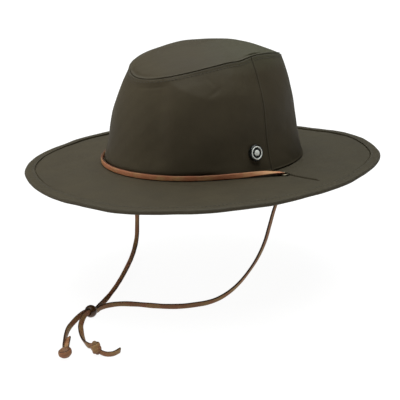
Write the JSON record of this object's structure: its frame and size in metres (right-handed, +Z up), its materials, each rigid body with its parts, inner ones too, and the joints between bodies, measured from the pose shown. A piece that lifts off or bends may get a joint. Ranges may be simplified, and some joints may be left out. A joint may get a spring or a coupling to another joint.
{
  "type": "traveller hat",
  "caption": "Wide-brimmed waxed cotton traveller hat: seamed crown, hemmed brim, and a leather lace as hat band and chin strap through eyelets and a slider bead.",
  "frame": {"origin": "middle of the head opening, level with the seam between crown and brim", "axes": "+Z up through the crown, -Y to the front of the hat, +X to the wearer's left"},
  "size_m": [0.3127, 0.3989, 0.2297],
  "materials": {
    "cotton": "waxed cotton twill, dull with a faint sheen",
    "leather": "oiled brown lace leather with darker cut edges",
    "eyelet_metal": "dark antique brass",
    "badge_black": "black, smooth",
    "badge_silver": "pale satin silver",
    "bead": "dark polished wood"
  },
  "bodies": {
    "root": {"crown_tip": "cotton", "crown_front": "cotton", "crown_back": "cotton", "brim": "cotton", "hat_band": "leather", "eyelet_left": "eyelet_metal", "eyelet_right": "eyelet_metal", "badge_base": "badge_black", "badge_ring": "badge_silver", "badge_dot": "badge_silver", "chin_cord_left": "leather", "chin_cord_right": "leather", "slider_bead": "bead", "knot_left": "leather", "knot_right": "leather"}
  },
  "joints": []
}
